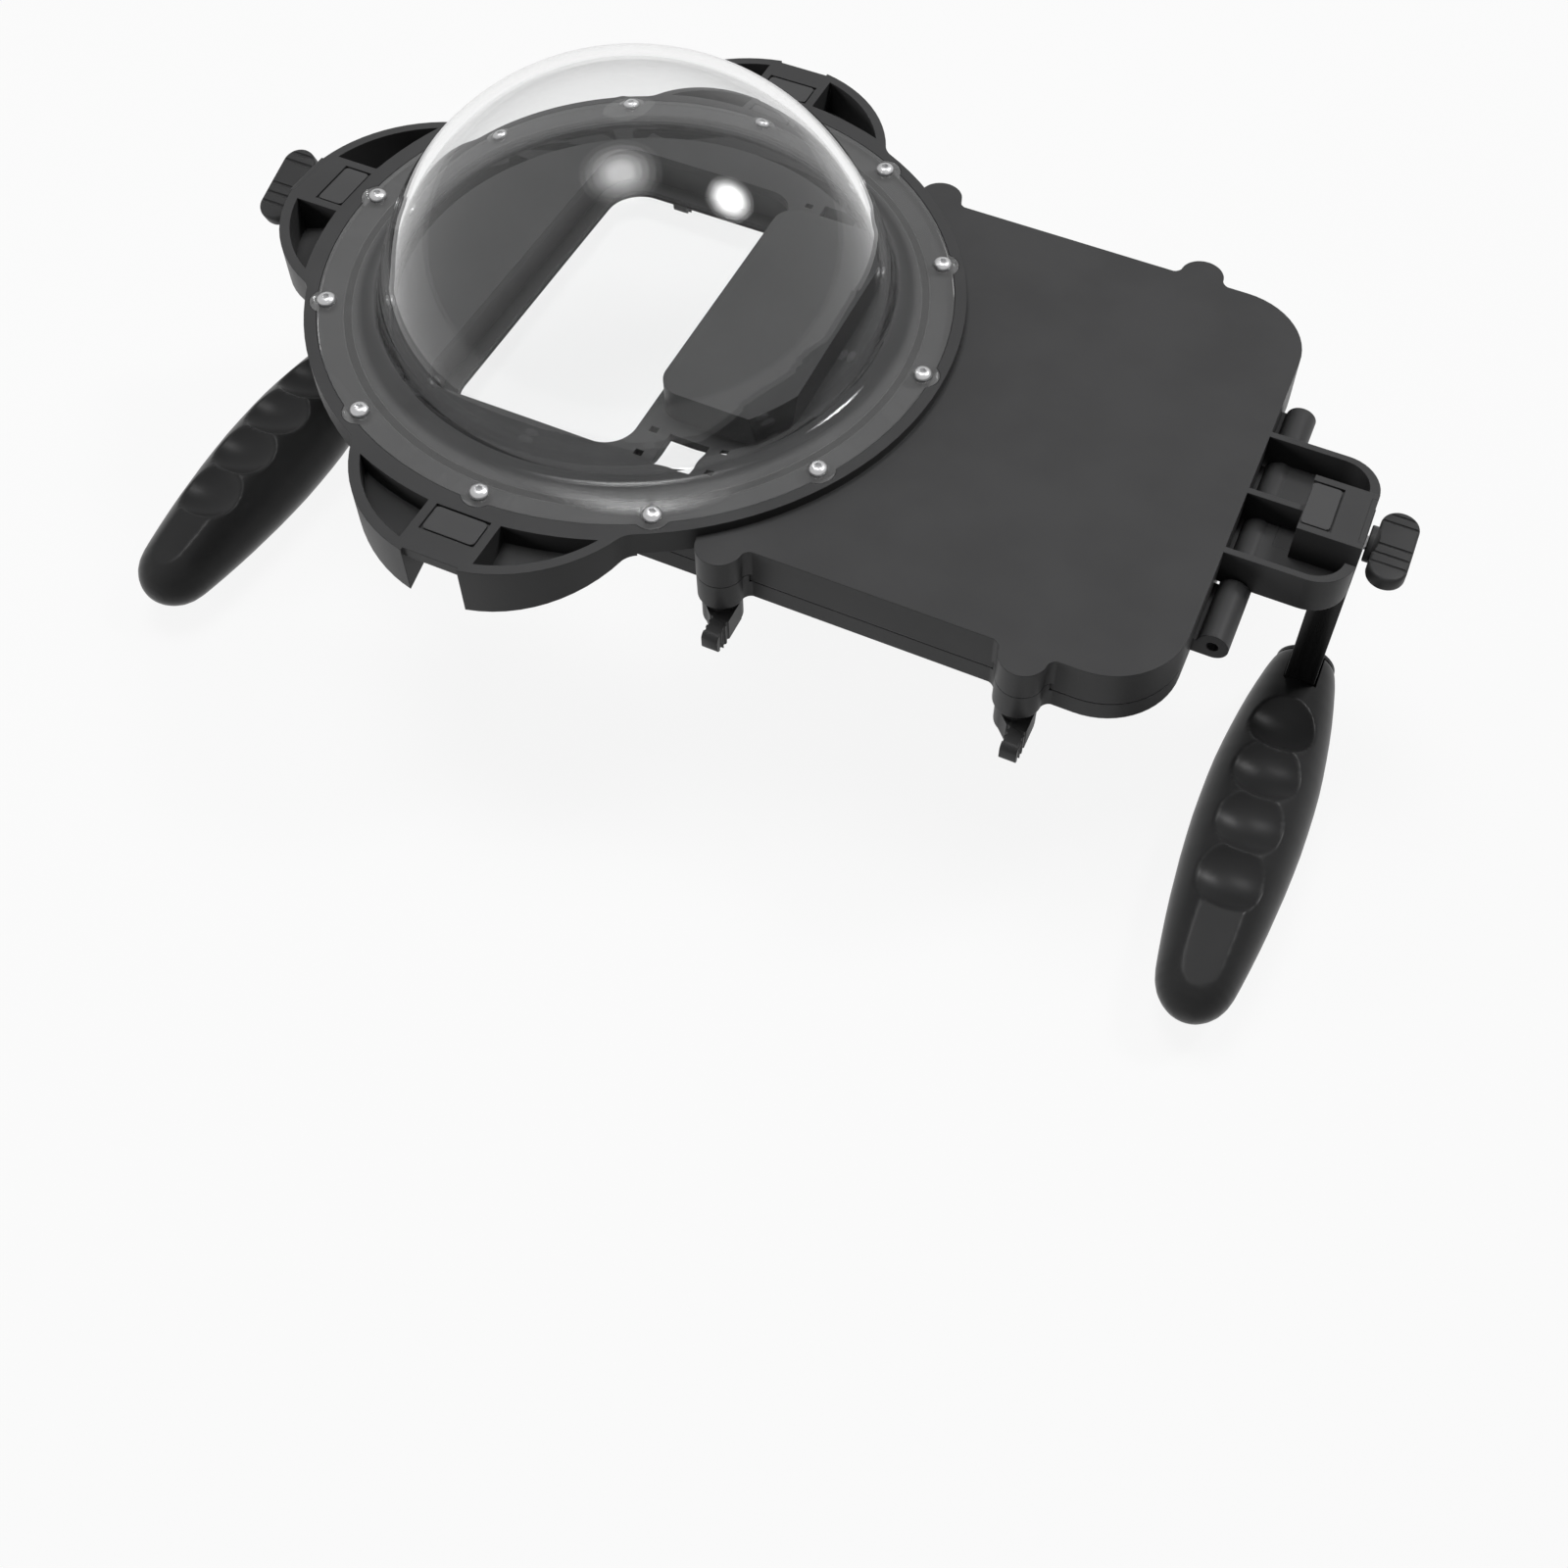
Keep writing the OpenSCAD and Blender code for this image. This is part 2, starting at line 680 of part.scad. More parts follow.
// One lever: a round hub and two arms set off to either side, grooved at the tips
module lever(i) {
    off = hub_r - lever_w / 2;
    color([0.14, 0.14, 0.14]) translate([pivots[i][0], pivots[i][1], lever_z - lever_h])
        difference() {
            union() {
                cylinder(h = lever_h, r = hub_r);
                for (a = [0, 180]) rotate([0, 0, a]) {
                    translate([-off - lever_w / 2, 0, 0])
                        cube([lever_w, lever_reach - 5, lever_h - 1.8]);
                    translate([-off - lever_w / 2, lever_reach - 5 - eps, 1.4])
                        cube([lever_w, 4, lever_h - 3.2]);
                    translate([-off - lever_w / 2, lever_reach - 3, 1.4])
                        rbox2_tip(lever_w, 3, 1.2, lever_h - 3.2);
                }
            }
            translate([0, 0, -1]) cylinder(h = lever_h + 2, r = shaft_r);
            for (a = [0, 180], k = [0:2], s = [-1, 1]) rotate([0, 0, a])
                translate([-off + s * (lever_w / 2 + 0.25), lever_reach - 2 - k * 2, -1])
                    cylinder(h = lever_h + 2, r = 0.7, $fn = 24);
        }
}

module rbox2_tip(w, l, r, h) {
    linear_extrude(h) rbox2(0, w, 0, l, r);
}

// Shaft with the cross head that turns inside the socket of the shell's boss
module shaft(i) {
    color([0.6, 0.6, 0.62]) translate([pivots[i][0], pivots[i][1], 0]) {
        rod(0, 0, lever_z - lever_h + 0.6, split_z + socket_depth - 0.8, shaft_r);
        block3(-1.3, 1.3, -4, 4, split_z + socket_depth - 3, split_z + socket_depth - 0.8);
    }
}

// Places a mount's pieces: tip of the mount at x = tip, turned about Z by a
module at_mount(tip, a) {
    rotate([0, 0, a]) translate([tip, 0, 0]) children();
}

grip_x = arm_proud - arm_t / 2;
mid_x = (bracket_end - lobe_tip) / 2;
floor_z = -grip_z - palm_cut;

module arm() {
    top = -skin_t - 0.2;
    color([0.05, 0.05, 0.05]) difference() {
        union() {
            block3(arm_proud - arm_t, arm_proud, -arm_w / 2, arm_w / 2, 14 - grip_z, top);
            block3(arm_proud - arm_t, arm_proud, -arm_w / 2, arm_w / 2 - 2.4,
                -grip_z - arm_tail, 14 - grip_z + eps);
        }
        translate([arm_proud - arm_t - 1, 0, -clamp_z]) rotate([0, 90, 0])
            cylinder(h = arm_t + 2, r = stud_r + 0.3);
        translate([grip_x, arm_w, -grip_z]) rotate([90, 0, 0])
            cylinder(h = 2 * arm_w, r = grip_screw_r + 0.2);
        // Shallow panel moulded into the broad side towards the case
        block3(arm_proud - arm_t - 1, arm_proud - arm_t + 0.8, -arm_w / 2 + 2,
            arm_w / 2 - 2.4, 26 - grip_z, -lobe_depth - 5);
    }
}

// Radius of the grip at a distance t from its top end: a long arc after the neck
function barrel_at(t) = grip_r - grip_arc + sqrt(pow(grip_arc, 2) - pow(t - grip_mid, 2));

// Half outline of a grip: x is the radius, y the distance from its top end
module grip_profile() {
    neck = [for (i = [0:6]) let (k = i / 7)
        [cap_r + (barrel_at(grip_neck) - cap_r) * pow(k, 0.62),
        cap_t + (grip_neck - cap_t) * k]];
    long = [for (i = [0:grip_steps])
        let (t = grip_neck + (grip_end_t - grip_neck) * i / grip_steps)
        [barrel_at(t), t]];
    polygon(concat([[0, cap_t]], neck, long, [[0, grip_end_t]]));
    intersection() {
        translate([0, grip_end_t]) circle(grip_end_r);
        translate([0, grip_end_t - 1]) square([grip_r, grip_end_r + 2]);
    }
}

module grip() {
    color([0.13, 0.13, 0.13]) difference() {
        translate([grip_x, grip_top, -grip_z]) rotate([90, 0, 0]) difference() {
            rotate_extrude() grip_profile();
            // Flat for the palm behind, hollows for the fingers in front
            block3(-grip_r, grip_r, -grip_r - 1, -palm_cut, 5, grip_len - 5);
            for (k = [0:3])
                translate([-grip_r - 1, grip_r - finger_depth + finger_r,
                    finger_first + k * finger_pitch])
                    rotate([0, 90, 0]) cylinder(h = 2 * grip_r + 2, r = finger_r);
            cylinder(h = 30, r = grip_screw_r + eps);
        }
        block3(arm_proud - arm_t - 0.15, arm_proud + 0.15, -arm_w / 2 - 0.15,
            arm_low_y + 0.6, -grip_z - arm_tail - 0.15, 0);
    }
}

module cap() {
    color([0.1, 0.1, 0.1]) translate([grip_x, grip_top, -grip_z]) rotate([90, 0, 0])
        difference() {
            union() {
                cylinder(h = 0.8, r1 = cap_r - 0.8, r2 = cap_r);
                translate([0, 0, 0.8 - eps]) cylinder(h = cap_t - 0.8 + eps, r = cap_r);
            }
            translate([0, 0, -1]) cylinder(h = cap_t + 2, r = grip_screw_r + 0.1);
            translate([0, 0, -1]) cylinder(h = 2.1, r = grip_screw_r + 1.7);
        }
}

module grip_screw() {
    color([0.75, 0.75, 0.77]) translate([grip_x, grip_top, -grip_z])
        rotate([90, 0, 0]) difference() {
            union() {
                translate([0, 0, 0.2]) cylinder(h = 0.9, r = grip_screw_r + 1.5);
                translate([0, 0, 1]) cylinder(h = 25, r = grip_screw_r);
            }
            translate([0, 0, -0.6]) cylinder(h = 1.2, r = 1.25, $fn = 6);
        }
}

knob_start = arm_proud + 0.5;

module knob() {
    color([0.12, 0.12, 0.12]) translate([0, 0, -clamp_z]) difference() {
        union() {
            rbox(knob_start, knob_start + knob_w, -knob_len / 2, knob_len / 2,
                knob_w / 2 - eps, -knob_t / 2, knob_t / 2);
            translate([arm_proud + 0.3, 0, 0]) rotate([0, 90, 0])
                cylinder(h = 6, r = knob_t / 2 + 1);
        }
        for (s = [-1, 1], y = [4.6, 7, 9.4], f = [-1, 1])
            translate([knob_start - 1, s * y - 0.4, f * (knob_t / 2 + 0.05) - 0.45])
                cube([knob_w + 2, 0.8, 0.9]);
        translate([0, 0, 0]) rotate([0, 90, 0])
            cylinder(h = knob_start + 7, r = stud_r);
    }
}

module stud() {
    color([0.75, 0.75, 0.77]) translate([-arm_seat - stud_len + 0.6, 0, -clamp_z])
        rotate([0, 90, 0])
            cylinder(h = arm_seat + stud_len - 0.6 + knob_start + 7, r = stud_r);
}

// Stands the case on Z zero with its middle over the origin
module placed() { translate([-mid_x, 0, -floor_z]) children(); }

module right() { at_mount(bracket_end, 0) children(); }
// The left set is the right one mirrored, so both grips hang the same way
module left() { mirror([1, 0, 0]) at_mount(lobe_tip, 0) children(); }

placed() front_shell();
placed() dome();
placed() dome_seal();
placed() flange_screws();
placed() flange_nuts();
placed() hinge_pin();
placed() mount_inlays();
placed() rear_cover();
placed() window_pane();
placed() window_frame();
placed() frame_screws();
placed() cover_seal();
placed() lever(0);  // lever_1
placed() lever(1);  // lever_2
placed() lever(2);  // lever_3
placed() lever(3);  // lever_4
placed() lever(4);  // lever_5
placed() lever(5);  // lever_6
placed() lever(6);  // lever_7
placed() lever(7);  // lever_8
placed() shaft(0);  // shaft_1
placed() shaft(1);  // shaft_2
placed() shaft(2);  // shaft_3
placed() shaft(3);  // shaft_4
placed() shaft(4);  // shaft_5
placed() shaft(5);  // shaft_6
placed() shaft(6);  // shaft_7
placed() shaft(7);  // shaft_8
placed() right() arm();  // arm_right
placed() right() grip();  // grip_right
placed() right() cap();  // cap_right
placed() right() grip_screw();  // grip_screw_right
placed() right() knob();  // knob_right
placed() right() stud();  // stud_right
placed() left() arm();  // arm_left
placed() left() grip();  // grip_left
placed() left() cap();  // cap_left
placed() left() grip_screw();  // grip_screw_left
placed() left() knob();  // knob_left
placed() left() stud();  // stud_left
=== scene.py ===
import math

import bmesh
import bpy
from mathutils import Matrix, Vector


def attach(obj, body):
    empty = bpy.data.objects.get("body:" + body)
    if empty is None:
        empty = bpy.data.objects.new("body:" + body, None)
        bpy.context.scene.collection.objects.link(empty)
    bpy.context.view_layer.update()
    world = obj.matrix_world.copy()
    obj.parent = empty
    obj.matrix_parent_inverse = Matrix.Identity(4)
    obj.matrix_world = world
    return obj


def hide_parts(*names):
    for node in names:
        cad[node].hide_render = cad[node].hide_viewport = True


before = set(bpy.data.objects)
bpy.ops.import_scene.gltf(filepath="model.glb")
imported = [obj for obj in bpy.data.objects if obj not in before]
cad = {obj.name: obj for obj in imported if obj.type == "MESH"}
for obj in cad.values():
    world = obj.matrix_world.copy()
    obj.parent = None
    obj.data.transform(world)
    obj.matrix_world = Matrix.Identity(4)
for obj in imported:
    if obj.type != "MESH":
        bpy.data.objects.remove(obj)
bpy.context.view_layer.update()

# The source draws each piece in millimetres about the dome's axis, with Z zero on the
# flange's top face, and then stands the case on the floor. SHIFT is that move, in
# metres. The sizes below are millimetres in the source's place, unless they say metres.
SHIFT = Vector((-0.0522, 0.0, 0.0924))


def mm(x, y, z):
    """A point given in the source's millimetres, in the row frame."""
    return Vector((x, y, z)) / 1000 + SHIFT


# Materials

class Wire:
    """A value socket that can be written in a sum."""

    def __init__(self, nodes, socket):
        self.nodes, self.socket = nodes, socket

    def math(self, operation, *others):
        return self.nodes.node("ShaderNodeMath", {"operation": operation}, [self, *others])

    def __add__(self, other):
        return self.math("ADD", other)

    def __radd__(self, other):
        return self.math("ADD", other)

    def __mul__(self, other):
        return self.math("MULTIPLY", other)

    def __rmul__(self, other):
        return self.math("MULTIPLY", other)

    def __rsub__(self, other):
        return self.nodes.node("ShaderNodeMath", {"operation": "SUBTRACT"}, [other, self])

    def over(self, low, high):
        """0 below low, 1 above high, smooth between."""
        return self.nodes.node("ShaderNodeMapRange", {"interpolation_type": "SMOOTHSTEP"},
                               {"Value": self, "From Min": low, "From Max": high})

    def beside(self, name):
        """Another output of the same node."""
        return Wire(self.nodes, self.socket.node.outputs[name])


class Nodes:
    """The nodes of a material or of the world, made one by one."""

    def __init__(self, owner, end):
        owner.use_nodes = True
        self.owner, self.tree = owner, owner.node_tree
        self.tree.nodes.clear()
        self.end = self.tree.nodes.new(end)

    def node(self, kind, settings=None, values=None, out=0):
        """A node with these settings, and with values or links on its sockets."""
        made = self.tree.nodes.new(kind)
        for key, value in (settings or {}).items():
            setattr(made, key, value)
        pairs = values.items() if isinstance(values, dict) else enumerate(values or [])
        for key, value in pairs:
            if isinstance(value, Wire):
                self.tree.links.new(value.socket, made.inputs[key])
            else:
                made.inputs[key].default_value = value
        return Wire(self, made.outputs[out])

    def mix(self, mask, a, b):
        """Shader a where the mask is 0 and b where it is 1."""
        return self.node("ShaderNodeMixShader", None, [mask, a, b])

    def surface(self, wire):
        self.tree.links.new(wire.socket, self.end.inputs["Surface"])
        return self.owner


class Paint(Nodes):
    """A material, with the patterns that the finishes share."""

    def __init__(self, name):
        super().__init__(bpy.data.materials.new(name), "ShaderNodeOutputMaterial")
        self.place = self.node("ShaderNodeTexCoord", out="Object")

    def noise(self, scale, detail, at=None):
        return self.node("ShaderNodeTexNoise", None,
                         {"Vector": at or self.place, "Scale": scale, "Detail": detail})

    def blend(self, mask, a, b):
        """Colour a where the mask is 0 and b where it is 1."""
        return self.node("ShaderNodeMix", {"data_type": "RGBA"}, {0: mask, 6: a, 7: b}, out=2)

    def off_axis(self):
        """Distance from the dome's axis, in metres."""
        about = self.node("ShaderNodeVectorMath", {"operation": "SUBTRACT"},
                          [self.place, tuple(mm(0, 0, 0))])
        flat = self.node("ShaderNodeVectorMath", {"operation": "MULTIPLY"}, [about, (1, 1, 0)])
        return self.node("ShaderNodeVectorMath", {"operation": "LENGTH"}, [flat], out="Value")

    def bump(self, height, depth, edge=None):
        """A grain of this depth, on edges rounded to this radius."""
        values = {"Height": height, "Distance": depth / 1000, "Strength": 1.0}
        if edge:
            values["Normal"] = self.node("ShaderNodeBevel", {"samples": 6},
                                         {"Radius": edge / 1000})
        return self.node("ShaderNodeBump", None, values)

    def diffuse(self, tone):
        return self.node("ShaderNodeBsdfDiffuse", None, {"Color": (tone, tone, tone, 1)})

    def principled(self, **values):
        named = {key.replace("_", " "): value for key, value in values.items()}
        return self.node("ShaderNodeBsdfPrincipled", None, named)


def grey(value, blue=1.015):
    return (value, value, value * blue, 1)


def moulded(name, tone, roughness, gloss, edge=0.4):
    """Satin moulded plastic: a slightly uneven tone and sheen and a faint waviness."""
    p = Paint(name)
    cloud = p.noise(scale=38, detail=3)
    flow = p.noise(scale=9, detail=2)
    tint = p.blend(cloud.over(0.3, 0.7), grey(0.94 * tone), grey(1.07 * tone))
    sheen = roughness - 0.04 + 0.07 * flow + 0.02 * cloud
    wave = p.bump(p.noise(scale=420, detail=1), depth=0.002, edge=edge)
    return p.surface(p.principled(Base_Color=tint, Roughness=sheen, IOR=1.5,
                                  Specular_IOR_Level=gloss, Normal=wave))


def anodised(name):
    """Black anodised bar: long faint drawing lines and a clean gloss."""
    p = Paint(name)
    along = p.node("ShaderNodeMapping", None, {"Vector": p.place, "Scale": (1.0, 1.0, 0.03)})
    drawn = p.noise(scale=900, detail=2, at=along)
    tint = p.blend(drawn.over(0.35, 0.65), grey(0.004), grey(0.008))
    return p.surface(p.principled(Base_Color=tint, Roughness=0.2 + 0.1 * drawn, IOR=1.45,
                                  Specular_IOR_Level=0.3,
                                  Normal=p.bump(drawn, depth=0.004, edge=0.3)))


def machined(name, tone, roughness):
    """Bright stainless metal with fine turning marks and a little haze."""
    p = Paint(name)
    haze = p.noise(scale=420, detail=2)
    marks = p.noise(scale=3800, detail=1)
    tint = p.blend(haze, grey(0.9 * tone, 1.01), grey(1.08 * tone, 1.01))
    return p.surface(p.principled(Base_Color=tint, Metallic=1.0,
                                  Roughness=roughness + 0.1 * haze + 0.05 * marks,
                                  Normal=p.bump(marks, depth=0.004, edge=0.15)))


def rubber(name):
    """Matt black seal rubber with a little dust on it."""
    p = Paint(name)
    dust = p.noise(scale=160, detail=3)
    tint = p.blend(dust.over(0.4, 0.8), grey(0.012), grey(0.02))
    return p.surface(p.principled(Base_Color=tint, Roughness=0.62 + 0.15 * dust,
                                  Normal=p.bump(p.noise(scale=1800, detail=1), depth=0.01)))


# painted light band: between these distances from its axis the flange is painted white diffuse,
# standing in for the light band that reflections of the white room put on it
PAINTED_BAND_START, PAINTED_BAND_FULL = 79.5, 82.5


def acrylic(name, tint, painted_band=0.0):
    """Clear cast acrylic that lets the lamps' light through to what is behind it."""
    p = Paint(name)
    shadow = p.node("ShaderNodeLightPath", out="Is Shadow Ray")
    lighting = shadow.math("MAXIMUM", shadow.beside("Is Diffuse Ray"))
    clear = p.node("ShaderNodeBsdfTransparent", None, {"Color": tint})
    glass = p.principled(Base_Color=tint, Roughness=0.0, IOR=1.38, Transmission_Weight=1.0)
    # painted light band: white diffuse mixed into the glass on the flange, a painted reflection of
    # the white room
    painted_band_mask = painted_band * p.off_axis().over(PAINTED_BAND_START / 1000, PAINTED_BAND_FULL / 1000)
    return p.surface(p.mix(lighting, p.mix(painted_band_mask, glass, p.diffuse(0.9)), clear))


shell_plastic = moulded("moulded charcoal shell", 0.048, 0.42, 0.15)
inlay_plastic = moulded("smooth inlay", 0.062, 0.4, 0.18, edge=0.2)
grip_plastic = moulded("grip with a soft sheen", 0.024, 0.32, 0.14)
lever_plastic = moulded("latch lever", 0.03, 0.4, 0.16, edge=0.3)
knob_plastic = moulded("thumb knob", 0.038, 0.42, 0.16, edge=0.2)
frame_plastic = moulded("window clamp frame", 0.034, 0.5, 0.14, edge=0.2)
arm_metal = anodised("black anodised bar")
screw_steel = machined("stainless screws", 0.72, 0.24)
pin_steel = machined("ground pin", 0.6, 0.3)
seal_rubber = rubber("seal rubber")
# the dome's flange carries a painted light band, standing in for reflections of the white room
dome_acrylic = acrylic("clear dome", (0.992, 0.994, 0.994, 1), painted_band=0.058)
window_acrylic = acrylic("clear window", (0.99, 0.992, 0.992, 1))

FINISH = {
    "front_shell": shell_plastic, "rear_cover": shell_plastic,
    "dome": dome_acrylic, "window_pane": window_acrylic,
    "dome_seal": seal_rubber, "cover_seal": seal_rubber,
    "flange_screws": screw_steel, "flange_nuts": screw_steel, "frame_screws": screw_steel,
    "hinge_pin": pin_steel, "mount_inlays": inlay_plastic, "window_frame": frame_plastic,
}
for i in range(1, 9):
    FINISH[f"lever_{i}"] = lever_plastic
    FINISH[f"shaft_{i}"] = pin_steel
for side in ("right", "left"):
    FINISH[f"arm_{side}"] = arm_metal
    FINISH[f"grip_{side}"] = grip_plastic
    FINISH[f"cap_{side}"] = knob_plastic
    FINISH[f"grip_screw_{side}"] = screw_steel
    FINISH[f"knob_{side}"] = knob_plastic
    FINISH[f"stud_{side}"] = screw_steel


def paint(piece, material):
    piece.data.materials.clear()
    piece.data.materials.append(material)


for name, material in FINISH.items():
    paint(cad[name], material)


# Modelling aids

UPRIGHT = (0, 0, 0)
ALONG_X = (0, math.pi / 2, 0)
ALONG_Y = (math.pi / 2, 0, 0)


def pick(*pieces):
    """Selects just these pieces, the first of them active."""
    bpy.ops.object.select_all(action="DESELECT")
    for piece in pieces:
        piece.select_set(True)
    bpy.context.view_layer.objects.active = pieces[0]


def start(name, add, **how):
    """Adds a primitive with nothing else selected and names it."""
    bpy.ops.object.select_all(action="DESELECT")
    add(**how)
    piece = bpy.context.object
    piece.name = piece.data.name = name
    return piece


def settle(piece):
    """Puts the piece's place and turn into its vertices."""
    pick(piece)
    bpy.ops.object.transform_apply(location=True, rotation=True, scale=True)
    return piece


def edit(piece):
    pick(piece)
    bpy.ops.object.mode_set(mode="EDIT")


def leave():
    bpy.ops.object.mode_set(mode="OBJECT")


def choose(piece, kind, test):
    """In edit mode, selects just the verts, edges or faces that pass the test, which
    gets each one's middle in the source's millimetres, and the item itself."""
    bpy.ops.mesh.select_mode(type={"verts": "VERT", "edges": "EDGE", "faces": "FACE"}[kind])
    bpy.ops.mesh.select_all(action="DESELECT")
    mesh = bmesh.from_edit_mesh(piece.data)
    for item in getattr(mesh, kind):
        if kind == "verts":
            middle = item.co
        elif kind == "edges":
            middle = (item.verts[0].co + item.verts[1].co) / 2
        else:
            middle = item.calc_center_median()
        if test((middle - SHIFT) * 1000, item):
            item.select_set(True)
    mesh.select_flush_mode()
    bmesh.update_edit_mesh(piece.data)


def rise(edge):
    """How far one end of an edge stands over the other, in metres."""
    return abs(edge.verts[0].co.z - edge.verts[1].co.z)


def move_chosen(x, y, z):
    bpy.ops.transform.translate(value=(x / 1000, y / 1000, z / 1000))


def bevel_chosen(size, segments):
    bpy.ops.mesh.bevel(offset=size / 1000, segments=segments, profile=0.5)


def swing(piece, angle, axis, about):
    """Turns the whole piece. Without a window, rotate turns the other way round."""
    edit(piece)
    bpy.ops.mesh.select_all(action="SELECT")
    bpy.ops.transform.rotate(value=-angle, orient_axis=axis, center_override=tuple(mm(*about)))
    leave()


def finish_with(piece, kind, **settings):
    """Adds a modifier with these settings and applies it."""
    step = piece.modifiers.new(kind.lower(), kind)
    for key, value in settings.items():
        setattr(step, key, value)
    pick(piece)
    bpy.ops.object.modifier_apply(modifier=step.name)
    return piece


def ease(piece, width, degrees):
    """Rounds all edges that are sharper than so many degrees."""
    return finish_with(piece, "BEVEL", width=width / 1000, segments=2,
                       limit_method="ANGLE", angle_limit=math.radians(degrees))


def smooth(piece, degrees=30):
    """Shades as one surface what bends by less than so many degrees."""
    pick(piece)
    bpy.ops.object.shade_smooth_by_angle(angle=math.radians(degrees))
    return piece


def carve(piece, *tools, how="DIFFERENCE"):
    """Cuts the tools out of the piece, or joins them on, and clears them away."""
    for tool in tools:
        finish_with(piece, "BOOLEAN", object=tool, operation=how, solver="EXACT")
        bpy.data.objects.remove(tool)


def block(name, low, high):
    """A block between two corners."""
    low, high = mm(*low), mm(*high)
    middle = (low + high) / 2
    piece = start(name, bpy.ops.mesh.primitive_cube_add, size=1, location=middle)
    edit(piece)
    bpy.ops.transform.resize(value=tuple(high - low), center_override=tuple(middle))
    leave()
    return settle(piece)


def drum(name, middle, radius, length, turn=UPRIGHT, sides=48):
    """A short cylinder about a point."""
    piece = start(name, bpy.ops.mesh.primitive_cylinder_add, vertices=sides,
                  radius=radius / 1000, depth=length / 1000, location=mm(*middle),
                  rotation=turn)
    return settle(piece)


def turned(name, stations, foot, along, sides=48):
    """A disc extruded from station to station (distance, radius), as on a lathe."""
    foot, along = mm(*foot), Vector(along)
    at, radius = stations[0]
    turn = Vector((0, 0, 1)).rotation_difference(along).to_euler()
    piece = start(name, bpy.ops.mesh.primitive_circle_add, vertices=sides,
                  radius=radius / 1000, fill_type="NGON",
                  location=foot + along * (at / 1000), rotation=turn)
    settle(piece)
    edit(piece)
    bpy.ops.mesh.select_mode(type="FACE")
    bpy.ops.mesh.select_all(action="SELECT")
    for there, wide in stations[1:]:
        bpy.ops.mesh.extrude_region_move(
            TRANSFORM_OT_translate={"value": tuple(along * ((there - at) / 1000))})
        k = wide / radius
        bpy.ops.transform.resize(value=(k, k, k),
                                 center_override=tuple(foot + along * (there / 1000)))
        at, radius = there, wide
    bpy.ops.mesh.select_all(action="SELECT")
    bpy.ops.mesh.normals_make_consistent(inside=False)
    leave()
    return piece


def copy_of(piece, name, by):
    """A copy with its own mesh, moved by so many millimetres."""
    pick(piece)
    bpy.ops.object.duplicate(linked=False)
    twin = bpy.context.object
    twin.name = twin.data.name = name
    twin.location = Vector(by) / 1000
    return settle(twin)


def join(pieces, name):
    pick(*pieces)
    bpy.ops.object.join()
    pieces[0].name = pieces[0].data.name = name
    return pieces[0]


def dress(piece, body, node):
    """Gives a finished piece the finish and the motion of a CAD node."""
    paint(piece, FINISH[node])
    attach(piece, body)


def fit(piece, body, node):
    """The finished piece is shown in place of its CAD node."""
    dress(piece, body, node)
    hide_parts(node)


# Arms: flat bars let into their channels, necked where they enter the grips

CLAMP_Z = -8.4
BAR_T = 8.9
BAR_HALF_W = 8.0
BAR_TOP, BAR_FOOT = -3.4, -64.0
NECK_Y, NECK_FOOT = 5.6, -84.0
NECK_LAP = 0.1
STUD_HOLE_R = 2.3
THROUGH = 30
# a shallow panel let into the inner face
PANEL_HALF_W = 6.0
PANEL_TOP, PANEL_FOOT = -24.0, -50.0
PANEL_DEPTH = 0.8
# the arms' outer faces, and the way that is outwards
ARM_FACES = {"right": (220.6, 1), "left": (-116.2, -1)}
# the outer walls of the lobes that the arms are clamped in
LOBE_TIPS = {"right": 220.4, "left": -116.0}


def arm(side):
    outer, way = ARM_FACES[side]
    inner = outer - way * BAR_T
    low, high = sorted((inner, outer))
    bar = block(f"arm_{side}_bar", (low, -BAR_HALF_W, BAR_FOOT), (high, BAR_HALF_W, BAR_TOP))
    neck = block("arm neck", (low, -BAR_HALF_W, NECK_FOOT), (high, NECK_Y, BAR_FOOT + NECK_LAP))
    hole = drum("stud hole", (outer, 0, CLAMP_Z), STUD_HOLE_R, THROUGH, ALONG_X, 32)
    near, far = sorted((inner - way, inner + way * PANEL_DEPTH))
    panel = block("shallow panel", (near, -PANEL_HALF_W, PANEL_FOOT),
                  (far, PANEL_HALF_W, PANEL_TOP))
    carve(bar, neck, how="UNION")
    carve(bar, hole, panel)
    ease(bar, 0.4, 50)
    smooth(bar)
    fit(bar, "case_front", f"arm_{side}")


arm("right")
arm("left")


# Grips

GRIP_LEN = 122.0
GRIP_TOP, GRIP_Z = 8.6, -78.0
GRIP_X = {"right": 216.4, "left": -112.0}
# distance from the grip's top, and radius there
GRIP_PROFILE = [(2, 8.8), (2.6, 9.3), (4, 9.85), (6, 10.4), (8, 10.9), (11, 11.5), (14, 12.1),
                (20, 13.15), (26, 14.0), (32, 14.7), (38, 15.3), (44, 15.75), (50, 15.95),
                (57, 16.0), (64, 15.93), (71, 15.6), (78, 15.15), (84, 14.6), (90, 14.05),
                (96, 13.35), (102, 12.55), (108, 11.65), (111.5, 11.05), (114.5, 10.2),
                (117, 8.9), (119, 7.2), (120.5, 5.3), (121.5, 3.3), (121.9, 1.4)]
# the flat in front leans: distance from the top and height over the axis at its ends
FLAT_ENDS = ((125, 8.3), (70, 15.8))
FLAT_Z = 12
PALM_DEPTH = 14.4
# the blocks that cut them reach past the barrel
CUT_HALF_W, CUT_PAST, CUT_BACK, CUT_FRONT = 20, 5, 30, -40
